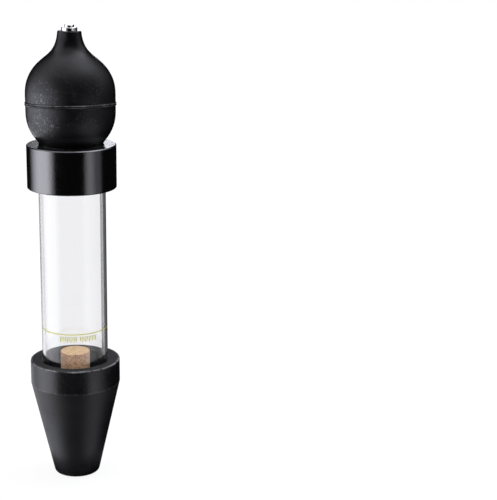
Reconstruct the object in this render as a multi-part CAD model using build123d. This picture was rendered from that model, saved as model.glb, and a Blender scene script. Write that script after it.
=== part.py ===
from build123d import *
import os
from math import sqrt

# Combustion leak detector: a hand pump that draws engine gas up through a test fluid.
# A rubber cone seals in the radiator's filler neck, a clear tube holds the fluid over a porous
# plug, and a rubber bulb with an exhaust valve pulls the gas through. Everything is turned or
# moulded about the Z axis. Lengths are in millimetres, and Z is the height above the cone's
# small end, on which the tester stands.

# Cone adapter, one rubber moulding
CONE_TIP_R = 13.0
CONE_RIM_R = 26.0
CONE_SHOULDER_Z = 56.6
CONE_HEIGHT = 70.4
CONE_TIP_FILLET = 2.2
CONE_RIM_FILLET = 0.7
SOCKET_DEPTH = 14.0
SOCKET_MOUTH_CHAMFER = 0.8
GAS_INLET_R = 4.0
GAS_INLET_CHAMFER = 1.0

# Clear tube, standard 1 1/2 inch stock with a 1/8 inch wall
TUBE_R = 19.05
TUBE_WALL = 3.2
TUBE_EDGE_CHAMFER = 0.3
TUBE_VISIBLE = 102.6

# Collar, a turned plastic ring bonded over the top of the tube
COLLAR_R = 25.4
COLLAR_HEIGHT = 25.0
COLLAR_CHAMFER = 0.5
TUBE_IN_COLLAR = 12.5
COLLAR_LAND_R = 15.85
COLLAR_LAND_THICKNESS = 1.5

# Squeeze bulb, one hollow rubber moulding. Its neck pushes into the collar.
BULB_NECK_R = 17.95
BULB_NECK_CLEARANCE = 0.05
BULB_NECK_WALL = 3.6
BULB_NECK_LEAD_IN = 1.0
BULB_LIP_R = 18.6
BULB_LIP_HEIGHT = 0.7
BULB_WALL = 2.6
BULB_BELLY_Z = 22.9
BULB_HEIGHT = 63.7
BULB_TOP_R = 6.7
BULB_TOP_FILLET = 0.8
BEAD_PROUD = 0.45
BEAD_ROOT = 0.75
BEAD_CREST = 0.3

# Radii and heights above the collar that the bulb's skin and its hollow swell and draw in through
BULB_SKIN_R = 25.3
BULB_SKIN_LOWER = ((17.7, 0.0), (22.0, 6.2), (24.8, 13.6))
BULB_SKIN_UPPER = ((24.75, 34.0), (20.95, 42.4), (14.9, 48.5), (10.0, 53.1), (7.5, 58.4))
BULB_HOLLOW_R = BULB_SKIN_R - BULB_WALL
BULB_HOLLOW_LOWER = ((15.1, 0.0), (19.4, 6.6), (22.2, 13.8))
BULB_HOLLOW_UPPER = ((22.0, 33.0), (18.3, 39.6), (12.4, 45.5))

# Exhaust valve in the bulb's small neck: plated body, slotted cap, ball and spring
VALVE_FLANGE_R = 4.5
VALVE_FLANGE_HEIGHT = 1.9
VALVE_FLANGE_CHAMFER = 0.25
VALVE_STEM_R = 3.1
VALVE_STEM_LENGTH = 12.0
BARB_R = 3.6
BARB_LENGTH = 1.6
BARB_PITCH = 2.6
BARB_COUNT = 3
VALVE_PASSAGE_R = 1.0
VALVE_PASSAGE_LENGTH = 4.4
VALVE_CHAMBER_R = 2.1
EXHAUST_BALL_R = 1.5
CAP_HEAD_R = 2.8
CAP_HEAD_HEIGHT = 1.4
CAP_HEAD_CHAMFER = 0.25
CAP_SHANK_LENGTH = 2.0
CAP_VENT_R = 0.7
CAP_SLOT_WIDTH = 0.9
CAP_SLOT_DEPTH = 0.7
SPRING_WIRE_R = 0.13
SPRING_COIL_R = 1.05
SPRING_TURNS = 5

# Check valve in the cone's bore, below the porous plug
BORE_R = 8.75
CHECK_POCKET_Z = 30.0
SEAT_HEIGHT = 8.0
SEAT_PASSAGE_R = 3.0
ORING_R = 3.9
ORING_SECTION_R = 0.9
CHECK_BALL_R = 5.0
CHECK_BALL_LIFT = 2.5
CAGE_CHAMBER_R = 6.6
CAGE_ROOF = 2.0
CAGE_HOLE_R = 1.1
CAGE_HOLE_RING_R = 5.0
CAGE_HOLES = 8

# Porous plug that breaks the gas into fine bubbles
PLUG_ABOVE_RIM = 5.3
PLUG_CHAMFER = 0.35

# Radial gap of a pushed or bonded joint, and the gap left between a ball and its seat
GLUE_LINE = 0.05
SEAT_GAP = 0.03

COLLAR_BOTTOM_Z = CONE_HEIGHT + TUBE_VISIBLE
COLLAR_TOP_Z = COLLAR_BOTTOM_Z + COLLAR_HEIGHT
TUBE_BORE_R = TUBE_R - TUBE_WALL
TUBE_BOTTOM_Z = CONE_HEIGHT - SOCKET_DEPTH
TUBE_TOP_Z = COLLAR_BOTTOM_Z + TUBE_IN_COLLAR
TUBE_SOCKET_R = TUBE_R + GLUE_LINE
NECK_SEAT_Z = TUBE_TOP_Z + COLLAR_LAND_THICKNESS
BULB_TOP_Z = COLLAR_TOP_Z + BULB_HEIGHT

PUSHED_R = BORE_R - GLUE_LINE
CHECK_SEAT_TOP_Z = CHECK_POCKET_Z + SEAT_HEIGHT
ORING_Z = CHECK_SEAT_TOP_Z - ORING_SECTION_R
# The check ball rests where it touches the O-ring's round section
CHECK_BALL_Z = ORING_Z + sqrt((CHECK_BALL_R + ORING_SECTION_R) ** 2 - ORING_R**2) + SEAT_GAP
CAGE_ROOF_Z = CHECK_BALL_Z + CHECK_BALL_R + CHECK_BALL_LIFT + SEAT_GAP
PLUG_BOTTOM_Z = CAGE_ROOF_Z + CAGE_ROOF
PLUG_TOP_Z = CONE_HEIGHT + PLUG_ABOVE_RIM

STEM_BOTTOM_Z = BULB_TOP_Z - VALVE_STEM_LENGTH
PASSAGE_TOP_Z = STEM_BOTTOM_Z + VALVE_PASSAGE_LENGTH
# The exhaust ball sits on a 45 degree cone whose point is one passage radius below the passage
EXHAUST_BALL_Z = PASSAGE_TOP_Z - VALVE_PASSAGE_R + EXHAUST_BALL_R * sqrt(2) + SEAT_GAP
FLANGE_TOP_Z = BULB_TOP_Z + VALVE_FLANGE_HEIGHT
CAP_BOTTOM_Z = FLANGE_TOP_Z - CAP_SHANK_LENGTH
CAP_TOP_Z = FLANGE_TOP_Z + CAP_HEAD_HEIGHT


def turned(*outline):
    """Solid turned about Z from a closed outline, given as edges or as (radius, height) points."""
    if isinstance(outline[0], tuple):
        outline = Polyline(*outline, close=True).edges()
    return revolve(Plane.XZ * make_face(outline), Axis.Z)


def rims(solid, radius, height):
    """The round edges of a turned solid that lie at this radius and height."""
    return [
        edge
        for edge in solid.edges().filter_by(GeomType.CIRCLE)
        if abs(edge.radius - radius) < 0.01 and abs(edge.arc_center.Z - height) < 0.01
    ]


def cone_adapter():
    """Rubber cone: gas inlet up its middle, a bore for the check valve and the tube's socket."""
    cone = turned(
        (GAS_INLET_R, 0),
        (CONE_TIP_R, 0),
        (CONE_RIM_R, CONE_SHOULDER_Z),
        (CONE_RIM_R, CONE_HEIGHT),
        (TUBE_SOCKET_R, CONE_HEIGHT),
        (TUBE_SOCKET_R, TUBE_BOTTOM_Z),
        (BORE_R, TUBE_BOTTOM_Z),
        (BORE_R, CHECK_POCKET_Z),
        (GAS_INLET_R, CHECK_POCKET_Z),
    )
    cone = fillet(rims(cone, CONE_TIP_R, 0), CONE_TIP_FILLET)
    cone = fillet(rims(cone, CONE_RIM_R, CONE_HEIGHT), CONE_RIM_FILLET)
    cone = chamfer(rims(cone, TUBE_SOCKET_R, CONE_HEIGHT), SOCKET_MOUTH_CHAMFER)
    return chamfer(rims(cone, GAS_INLET_R, 0), GAS_INLET_CHAMFER)


def sight_tube():
    """Clear tube, cut square with its inner edges broken."""
    tube = turned(
        (TUBE_BORE_R, TUBE_BOTTOM_Z),
        (TUBE_R, TUBE_BOTTOM_Z),
        (TUBE_R, TUBE_TOP_Z),
        (TUBE_BORE_R, TUBE_TOP_Z),
    )
    edges = rims(tube, TUBE_BORE_R, TUBE_TOP_Z) + rims(tube, TUBE_BORE_R, TUBE_BOTTOM_Z)
    return chamfer(edges, TUBE_EDGE_CHAMFER)


def top_collar():
    """Ring with the tube's socket below, the bulb's socket above and a land between them."""
    bulb_socket_r = BULB_NECK_R + BULB_NECK_CLEARANCE
    collar = turned(
        (TUBE_SOCKET_R, COLLAR_BOTTOM_Z),
        (COLLAR_R, COLLAR_BOTTOM_Z),
        (COLLAR_R, COLLAR_TOP_Z),
        (bulb_socket_r, COLLAR_TOP_Z),
        (bulb_socket_r, NECK_SEAT_Z),
        (COLLAR_LAND_R, NECK_SEAT_Z),
        (COLLAR_LAND_R, TUBE_TOP_Z),
        (TUBE_SOCKET_R, TUBE_TOP_Z),
    )
    outer = rims(collar, COLLAR_R, COLLAR_TOP_Z) + rims(collar, COLLAR_R, COLLAR_BOTTOM_Z)
    return chamfer(outer, COLLAR_CHAMFER)


def swelling(lower, belly_r, upper, top):
    """Solid that swells to a belly and draws in to a small top, through outline points.

    Every point is a radius and a height above the collar. The outline is upright at the belly.
    """
    belly = (belly_r, BULB_BELLY_Z)
    points = [[(r, COLLAR_TOP_Z + z) for r, z in part] for part in ((*lower, belly), (belly, *upper, top))]
    curves = [
        Spline(*points[0], tangents=((0.7, 1), (0, 1))),
        Spline(*points[1], tangents=((0, 1), (-0.05, 1))),
    ]
    start, end = points[0][0], points[1][-1]
    edges = [edge for curve in curves for edge in curve.edges()]
    edges += Polyline(end, (0, end[1]), (0, start[1]), start).edges()
    return turned(*edges)


def squeeze_bulb(valve_body):
    """Hollow bulb with a push-in neck, a seating lip, a moulding bead and a hole for the valve."""
    lip_top_z = COLLAR_TOP_Z + BULB_LIP_HEIGHT
    neck = turned(
        (0, NECK_SEAT_Z),
        (BULB_NECK_R, NECK_SEAT_Z),
        (BULB_NECK_R, COLLAR_TOP_Z),
        (BULB_LIP_R, COLLAR_TOP_Z),
        (BULB_LIP_R, lip_top_z),
        (0, lip_top_z),
    )
    neck = chamfer(rims(neck, BULB_NECK_R, NECK_SEAT_Z), BULB_NECK_LEAD_IN)
    neck = fillet(rims(neck, BULB_LIP_R, lip_top_z), BULB_LIP_HEIGHT / 2)
    bead_z = COLLAR_TOP_Z + BULB_BELLY_Z
    bead = turned(
        (0, bead_z - BEAD_ROOT),
        (BULB_SKIN_R - BEAD_PROUD, bead_z - BEAD_ROOT),
        (BULB_SKIN_R + BEAD_PROUD, bead_z - BEAD_CREST),
        (BULB_SKIN_R + BEAD_PROUD, bead_z + BEAD_CREST),
        (BULB_SKIN_R - BEAD_PROUD, bead_z + BEAD_ROOT),
        (0, bead_z + BEAD_ROOT),
    )
    skin = swelling(BULB_SKIN_LOWER, BULB_SKIN_R, BULB_SKIN_UPPER, (BULB_TOP_R, BULB_HEIGHT))
    skin = fillet(rims(skin, BULB_TOP_R, BULB_TOP_Z), BULB_TOP_FILLET)
    stem_end = (VALVE_STEM_R, BULB_HEIGHT - VALVE_STEM_LENGTH)
    hollow = swelling(BULB_HOLLOW_LOWER, BULB_HOLLOW_R, BULB_HOLLOW_UPPER, stem_end)
    neck_hole_r = BULB_NECK_R - BULB_NECK_WALL
    neck_hole = turned(
        (0, NECK_SEAT_Z),
        (neck_hole_r, NECK_SEAT_Z),
        (neck_hole_r, COLLAR_TOP_Z + BULB_WALL),
        (0, COLLAR_TOP_Z + BULB_WALL),
    )
    valve_hole = turned(
        (0, STEM_BOTTOM_Z),
        (VALVE_STEM_R, STEM_BOTTOM_Z),
        (VALVE_STEM_R, BULB_TOP_Z),
        (0, BULB_TOP_Z),
    )
    # The rubber closes round the barbs of the valve's stem
    return skin + neck + bead - hollow - neck_hole - valve_hole - valve_body


def exhaust_valve_body():
    """Plated body: barbed stem, flange, and a chamber with a ball seat over the passage."""
    body = turned(
        (VALVE_PASSAGE_R, STEM_BOTTOM_Z),
        (VALVE_STEM_R, STEM_BOTTOM_Z),
        (VALVE_STEM_R, BULB_TOP_Z),
        (VALVE_FLANGE_R, BULB_TOP_Z),
        (VALVE_FLANGE_R, FLANGE_TOP_Z),
        (VALVE_CHAMBER_R, FLANGE_TOP_Z),
        (VALVE_CHAMBER_R, PASSAGE_TOP_Z + VALVE_CHAMBER_R - VALVE_PASSAGE_R),
        (VALVE_PASSAGE_R, PASSAGE_TOP_Z),
    )
    body = chamfer(rims(body, VALVE_FLANGE_R, FLANGE_TOP_Z), VALVE_FLANGE_CHAMFER)
    for step in range(BARB_COUNT):
        barb_z = STEM_BOTTOM_Z + step * BARB_PITCH
        body += turned(
            (VALVE_CHAMBER_R, barb_z),
            (VALVE_STEM_R, barb_z),
            (BARB_R, barb_z + BARB_LENGTH),
            (VALVE_CHAMBER_R, barb_z + BARB_LENGTH),
        )
    return body


def exhaust_valve_cap():
    """Screw cap that keeps the ball and spring in: vent hole, driver slot and chamfered head."""
    shank_r = VALVE_CHAMBER_R - GLUE_LINE
    cap = turned(
        (CAP_VENT_R, CAP_BOTTOM_Z),
        (shank_r, CAP_BOTTOM_Z),
        (shank_r, FLANGE_TOP_Z),
        (CAP_HEAD_R, FLANGE_TOP_Z),
        (CAP_HEAD_R, CAP_TOP_Z),
        (CAP_VENT_R, CAP_TOP_Z),
    )
    cap = chamfer(rims(cap, CAP_HEAD_R, CAP_TOP_Z), CAP_HEAD_CHAMFER)
    return cap - Pos(0, 0, CAP_TOP_Z) * Box(3 * CAP_HEAD_R, CAP_SLOT_WIDTH, 2 * CAP_SLOT_DEPTH)


def exhaust_valve_spring():
    """Light coil spring between the cap and the upper side of the ball."""
    # The lowest turn rests where a circle of the coil's radius meets the ball
    reach = EXHAUST_BALL_R + SPRING_WIRE_R + SEAT_GAP
    bottom_z = EXHAUST_BALL_Z + sqrt(reach**2 - SPRING_COIL_R**2)
    height = CAP_BOTTOM_Z - SPRING_WIRE_R - SEAT_GAP - bottom_z
    path = Pos(0, 0, bottom_z) * Helix(height / SPRING_TURNS, height, SPRING_COIL_R)
    wire = Plane(origin=path @ 0, z_dir=path % 0) * Circle(SPRING_WIRE_R)
    return sweep(wire, path=path, is_frenet=True)


def check_valve_seat():
    """Seat bush in the bottom of the bore, with the gas passage and a pocket for the O-ring."""
    pocket_r = ORING_R + ORING_SECTION_R + GLUE_LINE
    pocket_z = ORING_Z - ORING_SECTION_R
    return turned(
        (SEAT_PASSAGE_R, CHECK_POCKET_Z),
        (PUSHED_R, CHECK_POCKET_Z),
        (PUSHED_R, CHECK_SEAT_TOP_Z),
        (pocket_r, CHECK_SEAT_TOP_Z),
        (pocket_r, pocket_z),
        (SEAT_PASSAGE_R, pocket_z),
    )


def check_valve_cage():
    """Cup over the check ball: it stops the ball's lift and carries the porous plug."""
    cage = turned(
        (CAGE_CHAMBER_R, CHECK_SEAT_TOP_Z),
        (PUSHED_R, CHECK_SEAT_TOP_Z),
        (PUSHED_R, PLUG_BOTTOM_Z),
        (0, PLUG_BOTTOM_Z),
        (0, CAGE_ROOF_Z),
        (CAGE_CHAMBER_R, CAGE_ROOF_Z),
    )
    hole = Pos(0, 0, CAGE_ROOF_Z) * Cylinder(CAGE_HOLE_R, 3 * CAGE_ROOF)
    return cage - PolarLocations(CAGE_HOLE_RING_R, CAGE_HOLES) * hole


def porous_diffuser():
    """Porous plug, pushed into the bore and standing proud in the fluid."""
    plug = turned(
        (0, PLUG_BOTTOM_Z),
        (PUSHED_R, PLUG_BOTTOM_Z),
        (PUSHED_R, PLUG_TOP_Z),
        (0, PLUG_TOP_Z),
    )
    return chamfer(rims(plug, PUSHED_R, PLUG_TOP_Z), PLUG_CHAMFER)


def build():
    """Every piece of the tester by name, each in its place."""
    valve_body = exhaust_valve_body()
    return {
        "cone_adapter": cone_adapter(),
        "sight_tube": sight_tube(),
        "top_collar": top_collar(),
        "squeeze_bulb": squeeze_bulb(valve_body),
        "exhaust_valve_body": valve_body,
        "exhaust_valve_cap": exhaust_valve_cap(),
        "exhaust_valve_ball": Pos(0, 0, EXHAUST_BALL_Z) * Sphere(EXHAUST_BALL_R),
        "exhaust_valve_spring": exhaust_valve_spring(),
        "porous_diffuser": porous_diffuser(),
        "check_valve_seat": check_valve_seat(),
        "check_valve_o_ring": Pos(0, 0, ORING_Z) * Torus(ORING_R, ORING_SECTION_R),
        "check_valve_ball": Pos(0, 0, CHECK_BALL_Z) * Sphere(CHECK_BALL_R),
        "check_valve_cage": check_valve_cage(),
    }


os.makedirs("parts", exist_ok=True)
for name, piece in build().items():
    export_step(piece, f"parts/{name}.step")
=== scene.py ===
from math import cos, pi, radians, sin

import bmesh
import bpy
import numpy as np
from mathutils import Matrix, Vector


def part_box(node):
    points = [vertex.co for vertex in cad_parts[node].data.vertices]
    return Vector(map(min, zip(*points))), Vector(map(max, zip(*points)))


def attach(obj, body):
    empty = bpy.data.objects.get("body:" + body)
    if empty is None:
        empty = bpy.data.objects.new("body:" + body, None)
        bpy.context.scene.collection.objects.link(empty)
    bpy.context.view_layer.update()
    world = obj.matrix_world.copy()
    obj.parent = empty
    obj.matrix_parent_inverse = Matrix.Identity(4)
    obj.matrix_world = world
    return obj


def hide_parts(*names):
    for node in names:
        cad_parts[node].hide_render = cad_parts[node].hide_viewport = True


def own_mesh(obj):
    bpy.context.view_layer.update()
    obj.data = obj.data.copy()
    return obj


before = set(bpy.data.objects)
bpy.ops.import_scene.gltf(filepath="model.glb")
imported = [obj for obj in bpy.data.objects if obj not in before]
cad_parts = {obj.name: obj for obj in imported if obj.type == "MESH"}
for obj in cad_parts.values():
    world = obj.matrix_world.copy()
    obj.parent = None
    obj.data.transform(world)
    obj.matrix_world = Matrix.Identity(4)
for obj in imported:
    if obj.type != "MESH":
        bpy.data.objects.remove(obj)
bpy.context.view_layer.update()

# The dressed combustion leak tester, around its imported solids. Outlines are in millimetres: a
# radius from the tester's axis and a height above the cone's small end.
MM = 0.001
SEGMENTS = 256
BULB_SEGMENTS = 288
PLUG_SEGMENTS = 320
SEED = 20261126

# Meshes: points nearer than this, in metres, are one, and edges sharper than this many degrees
# stay sharp in smooth shading
MERGE_DISTANCE = 1e-7
SHARP_FROM = 32

# Cone adapter
CONE_TIP_R = 13.0
CONE_TIP_FILLET = 2.2
CONE_TIP_WORN_Z = 0.8
CONE_SHOULDER_Z = 56.6
CONE_SHOULDER_FILLET = 0.5
CONE_RIM_FILLET = 0.7
CONE_RIM_HIGHLIGHT_INSET = 0.25
GAS_INLET_R = 4.0
GAS_INLET_CHAMFER = 1.0
VALVE_BORE_R = 8.75
VALVE_POCKET_Z = 30.0
SOCKET_MOUTH_CHAMFER = 0.8

# Tube and collar
TUBE_WALL = 1.6
TUBE_EDGE_CHAMFER = 0.3
GLUE_LINE = 0.05
COLLAR_CHAMFER = 0.5
COLLAR_EDGE_FILLET = 0.1
COLLAR_LAND_R = 15.85

# Squeeze bulb, with heights above the collar
BULB_NECK_R = 17.95
BULB_NECK_WALL = 3.6
BULB_NECK_LEAD_IN = 1.0
BULB_SOCKET_R = 18.0
BULB_LIP_R = 18.6
BULB_LIP_HEIGHT = 0.4
BULB_WALL = 2.6
BULB_BELLY_Z = 22.9
BULB_SKIN_R = 25.3
BULB_TOP_R = 6.7
BULB_TOP_FILLET = 0.8
BULB_GLOSSY_LENGTH = 11.0
BULB_SKIN_LOWER = ((17.7, 0.0), (22.0, 6.2), (24.8, 13.6))
BULB_SKIN_UPPER = ((24.75, 34.0), (20.95, 42.4), (14.9, 48.5), (10.0, 53.1), (7.5, 58.4))
BULB_HOLLOW_LOWER = ((15.1, 0.0), (19.4, 6.6), (22.2, 13.8))
BULB_HOLLOW_UPPER = ((22.0, 33.0), (18.3, 39.6), (12.4, 45.5))
# Directions in which both outlines leave the foot and come to the top
BULB_FOOT_LEAN = (0.7, 1)
BULB_TOP_LEAN = (-0.05, 1)
BEAD_RIDGE_APART = 1.0
BEAD_RIDGE_WIDTH = 0.27
BEAD_PROUD = 0.52
BEAD_BASE_PROUD = 0.16
BEAD_BASE_HALF_WIDTH = 0.95
BEAD_WANDER = 0.05
SKIN_SOFTNESS = 0.035
BEAD_TILT = 0.062
# Patches of its skin with a pale chalky bloom, at the front left partly painted sheen, and crazed
# ones whose light specks are partly painted glints: way round from the front towards +X in
# degrees, height above the bead and size in millimetres, and strength
BLOOM_AND_SHEEN_PATCHES = ((-46, 1, 20, 1.0), (135, 4, 26, 0.9), (-150, -6, 18, 0.6))
CRAZED_PATCHES = (
    (-42, 5, 14, 1.0), (-52, -7, 13, 1.0), (-30, -9, 10, 0.9), (6, -7, 10, 0.25), (34, -5, 9, 0.2),
    (32, 12, 12, 0.15), (150, 6, 14, 0.8), (-120, -8, 12, 0.8), (95, -10, 11, 0.7),
)
STEM_R = 3.1
STEM_LENGTH = 12.0

# Return spring of the exhaust valve
SPRING_WIRE_R = 0.13
SPRING_TURNS = 5
SPRING_STEPS_A_TURN = 36
SPRING_WIRE_SEGMENTS = 14

# Porous plug, whose granules have worn away a little from its true form
PLUG_WORN_TOP = 0.5
PLUG_WORN_SIDE = 0.25
PLUG_CHAMFER = 0.35
PLUG_UNDERSIDE_ROWS = 12
GRANULE_RELIEF = 0.08

# Printed level line and the plain strokes below it
LEVEL_LINE_Z = 90.5
LEVEL_LINE_WIDTH = 0.62
LEVEL_LINE_HALF_TURN = 81.0
INK_THICKNESS = 0.03
INK_CLEARANCE = 0.005
STROKE_TOP_Z = 89.2
STROKE_HEIGHTS = (3.4, 2.5)
STROKE_WIDTH = 0.55
STROKE_FIRST = -26.0
STROKE_LAST = 38.0
STROKE_PLACES = 21
STROKE_GAP_PLACE = 10

# Camera, where the photograph was taken from: place in metres, turns in radians, focal length in
# pixels of the photograph, and sensor width in millimetres
CAMERA_SPOT = (-0.0001, -0.7811, 0.3362)
CAMERA_PAN = 0.12995
CAMERA_TILT = 0.25136
CAMERA_ROLL = 0.01366
FOCAL_PIXELS = 1385.5
IMAGE_WIDTH = 497
SENSOR_WIDTH = 36.0

random = np.random.default_rng(SEED)


def reach(node):
    """Outer radius, lowest and highest height of a CAD node, in millimetres."""
    low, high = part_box(node)
    return high.x / MM, low.z / MM, high.z / MM


CONE_RIM_R, _, CONE_HEIGHT = reach("cone_adapter")
TUBE_R, TUBE_BOTTOM_Z, TUBE_TOP_Z = reach("sight_tube")
COLLAR_R, COLLAR_BOTTOM_Z, COLLAR_TOP_Z = reach("top_collar")
PLUG_R, PLUG_BOTTOM_Z, PLUG_TOP_Z = reach("porous_diffuser")
_, NECK_SEAT_Z, BULB_TOP_Z = reach("squeeze_bulb")
SPRING_OUTER_R, SPRING_BOTTOM_Z, SPRING_TOP_Z = reach("exhaust_valve_spring")
TUBE_BORE_R = TUBE_R - TUBE_WALL
SOCKET_R = TUBE_R + GLUE_LINE


# Outlines and surfaces

def rounded(corners, steps=6, hold=0.04):
    """Outline through (radius, height, fillet) corners, closed, with its corners rounded.

    A corner becomes an arc that starts and ends one tangent length from it, fillet / tan(half the
    corner's angle). Each arc point turns the arm from the arc's centre by an even share of the
    sweep. A holding point just past each end keeps the flat beside it flat in smooth shading.
    """
    places = np.array([corner[:2] for corner in corners], float)
    outline = []
    for index, (_, _, fillet) in enumerate(corners):
        corner = places[index]
        back = places[index - 1] - corner
        ahead = places[(index + 1) % len(places)] - corner
        back /= np.linalg.norm(back)
        ahead /= np.linalg.norm(ahead)
        if fillet == 0:
            outline.append(corner)
            continue
        half = np.arccos(np.clip(back @ ahead, -1, 1)) / 2
        tangent = fillet / np.tan(half)
        centre = corner + (back + ahead) / np.linalg.norm(back + ahead) * fillet / np.sin(half)
        first = corner + back * tangent - centre
        last = corner + ahead * tangent - centre
        sweep = pi - 2 * half
        share = np.linspace(0, 1, steps + 1)[:, None]
        arms = (np.sin((1 - share) * sweep) * first + np.sin(share * sweep) * last) / sin(sweep)
        outline.append(corner + back * (tangent + hold))
        outline.extend(centre + arms)
        outline.append(corner + ahead * (tangent + hold))
    return np.array(outline)


def smooth_run(points, start, end, count):
    """Points on the smooth curve through these points, with its end directions given.

    It is a cubic in each span of chord length. The slopes at the points make the curvature the
    same on both sides of each point, which is one linear equation a point.
    """
    points = np.array(points, float)
    gaps = np.linalg.norm(np.diff(points, axis=0), axis=1)
    knots = np.concatenate([[0], np.cumsum(gaps)])
    rows = np.eye(len(points))
    sides = np.zeros_like(points)
    sides[0] = np.array(start) / np.linalg.norm(start)
    sides[-1] = np.array(end) / np.linalg.norm(end)
    rises = np.diff(points, axis=0) / gaps[:, None]
    for knot in range(1, len(points) - 1):
        before, after = gaps[knot - 1], gaps[knot]
        rows[knot, knot - 1:knot + 2] = after, 2 * (before + after), before
        sides[knot] = 3 * (after * rises[knot - 1] + before * rises[knot])
    slopes = np.linalg.solve(rows, sides)
    along = np.linspace(0, knots[-1], count)
    span = np.clip(np.searchsorted(knots, along, side="right") - 1, 0, len(gaps) - 1)
    gap = gaps[span][:, None]
    t = (along - knots[span])[:, None] / gap
    return (
        (1 + 2 * t) * (1 - t) ** 2 * points[span]
        + t * (1 - t) ** 2 * gap * slopes[span]
        + t**2 * (3 - 2 * t) * points[span + 1]
        - t**2 * (1 - t) * gap * slopes[span + 1]
    )


def spun(outline, segments=SEGMENTS):
    """Grid of points: each outline point (radius, height) turned to even angles about Z."""
    angles = np.linspace(0, 2 * pi, segments, endpoint=False)
    radius = outline[:, 0][:, None]
    height = np.repeat(outline[:, 1][:, None], segments, axis=1)
    return np.stack([radius * np.cos(angles), radius * np.sin(angles), height], axis=-1)


def ripples(points, count, longest, shortest):
    """Smooth uneven values of about 1: seeded sine waves in random directions, added up."""
    heading = random.normal(size=(3, count))
    heading /= np.linalg.norm(heading, axis=0)
    length = random.uniform(shortest, longest, count)
    phase = random.uniform(0, 2 * pi, count)
    waves = np.sin(points @ (heading * 2 * pi / length) + phase)
    return waves.sum(axis=-1) * np.sqrt(2 / count)


def pushed(grid, depth):
    """Moves a grid's points along its normals, the cross product of its two directions."""
    down = np.gradient(grid, axis=0)
    across = np.roll(grid, -1, axis=1) - np.roll(grid, 1, axis=1)
    normal = np.cross(across, down)
    length = np.linalg.norm(normal, axis=-1, keepdims=True)
    normal = np.where(length > 1e-9, normal / np.maximum(length, 1e-9), [0, 0, 1])
    return grid + normal * depth[..., None]


def surface(name, grid, ring=True, wrap=True):
    """Mesh object of a grid in millimetres, one quad between each four neighbouring points.

    The columns join up when wrap is set, and the last row joins the first when ring is set.
    """
    rows, columns = grid.shape[:2]
    index = np.arange(rows * columns).reshape(rows, columns)
    if ring:
        index = np.vstack([index, index[:1]])
    if wrap:
        index = np.hstack([index, index[:, :1]])
    faces = np.stack([index[:-1, :-1], index[:-1, 1:], index[1:, 1:], index[1:, :-1]], axis=-1)
    mesh = bpy.data.meshes.new(name)
    mesh.from_pydata((grid.reshape(-1, 3) * MM).tolist(), [], faces.reshape(-1, 4).tolist())
    work = bmesh.new()
    work.from_mesh(mesh)
    bmesh.ops.remove_doubles(work, verts=work.verts, dist=MERGE_DISTANCE)
    bmesh.ops.recalc_face_normals(work, faces=work.faces)
    work.to_mesh(mesh)
    work.free()
    mesh.shade_smooth()
    mesh.set_sharp_from_angle(angle=radians(SHARP_FROM))
    piece = bpy.data.objects.new(name, mesh)
    bpy.context.scene.collection.objects.link(piece)
    return piece


def dressed(piece, body, slot, finish, *nodes):
    """Gives a piece its finish and its body, and hides the CAD nodes that it stands for. The slot
    is not used.
    """
    piece.data.materials.append(finish)
    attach(piece, body)
    if nodes:
        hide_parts(*nodes)
    return piece


def refinish(node, finish):
    """Gives a CAD node that stays a better finish on each of its slots."""
    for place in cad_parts[node].material_slots:
        place.material = finish


# Shader building

def feed(tree, socket, value):
    """Links a socket to another's output, or sets it to a plain value."""
    if isinstance(value, bpy.types.NodeSocket):
        tree.links.new(value, socket)
    else:
        socket.default_value = value


def put(tree, kind, sockets=None, **settings):
    """Adds a node with its settings, and feeds its sockets by name."""
    made = tree.nodes.new(kind)
    for key, value in settings.items():
        setattr(made, key, value)
    for key, value in (sockets or {}).items():
        feed(tree, made.inputs[key], value)
    return made


def maths(tree, operation, *values):
    """Output of one math node."""
    made = put(tree, "ShaderNodeMath", operation=operation)
    for socket, value in zip(made.inputs, values):
        feed(tree, socket, value)
    return made.outputs[0]


def eased(tree, value, low, high, at_low=0.0, at_high=1.0):
    """A value that eases from at_low to at_high as the input goes from low to high."""
    sockets = {
        "Value": value, "From Min": low, "From Max": high, "To Min": at_low, "To Max": at_high,
    }
    made = put(tree, "ShaderNodeMapRange", sockets, interpolation_type="SMOOTHSTEP")
    return made.outputs["Result"]


def mixed(tree, share, first, second):
    """A colour between two colours."""
    made = put(tree, "ShaderNodeMix", data_type="RGBA")
    feed(tree, made.inputs[0], share)
    feed(tree, made.inputs[6], first)
    feed(tree, made.inputs[7], second)
    return made.outputs[2]


def noise(tree, place, scale, detail=3.0, rough=0.5):
    """Value of a soft noise, about 0.5 on average."""
    sockets = {"Vector": place, "Scale": scale, "Detail": detail, "Roughness": rough}
    return put(tree, "ShaderNodeTexNoise", sockets).outputs["Fac"]


def effect(name, takes, gives):
    """Empty shader node group with named float inputs, a Place vector and named float outputs."""
    group = bpy.data.node_groups.new(name, "ShaderNodeTree")
    group.interface.new_socket("Place", in_out="INPUT", socket_type="NodeSocketVector")
    for key, value in takes.items():
        made = group.interface.new_socket(key, in_out="INPUT", socket_type="NodeSocketFloat")
        made.default_value = value
    for key in gives:
        group.interface.new_socket(key, in_out="OUTPUT", socket_type="NodeSocketFloat")
    given = group.nodes.new("NodeGroupInput").outputs
    return group, given, group.nodes.new("NodeGroupOutput").inputs


def from_axis(tree, place):
    """Distance from the Z axis and height of a place."""
    parts = put(tree, "ShaderNodeSeparateXYZ", {"Vector": place}).outputs
    across = maths(tree, "POWER", parts["X"], 2.0)
    squares = maths(tree, "MULTIPLY_ADD", parts["Y"], parts["Y"], across)
    return maths(tree, "SQRT", squares), parts["Z"]


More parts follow.
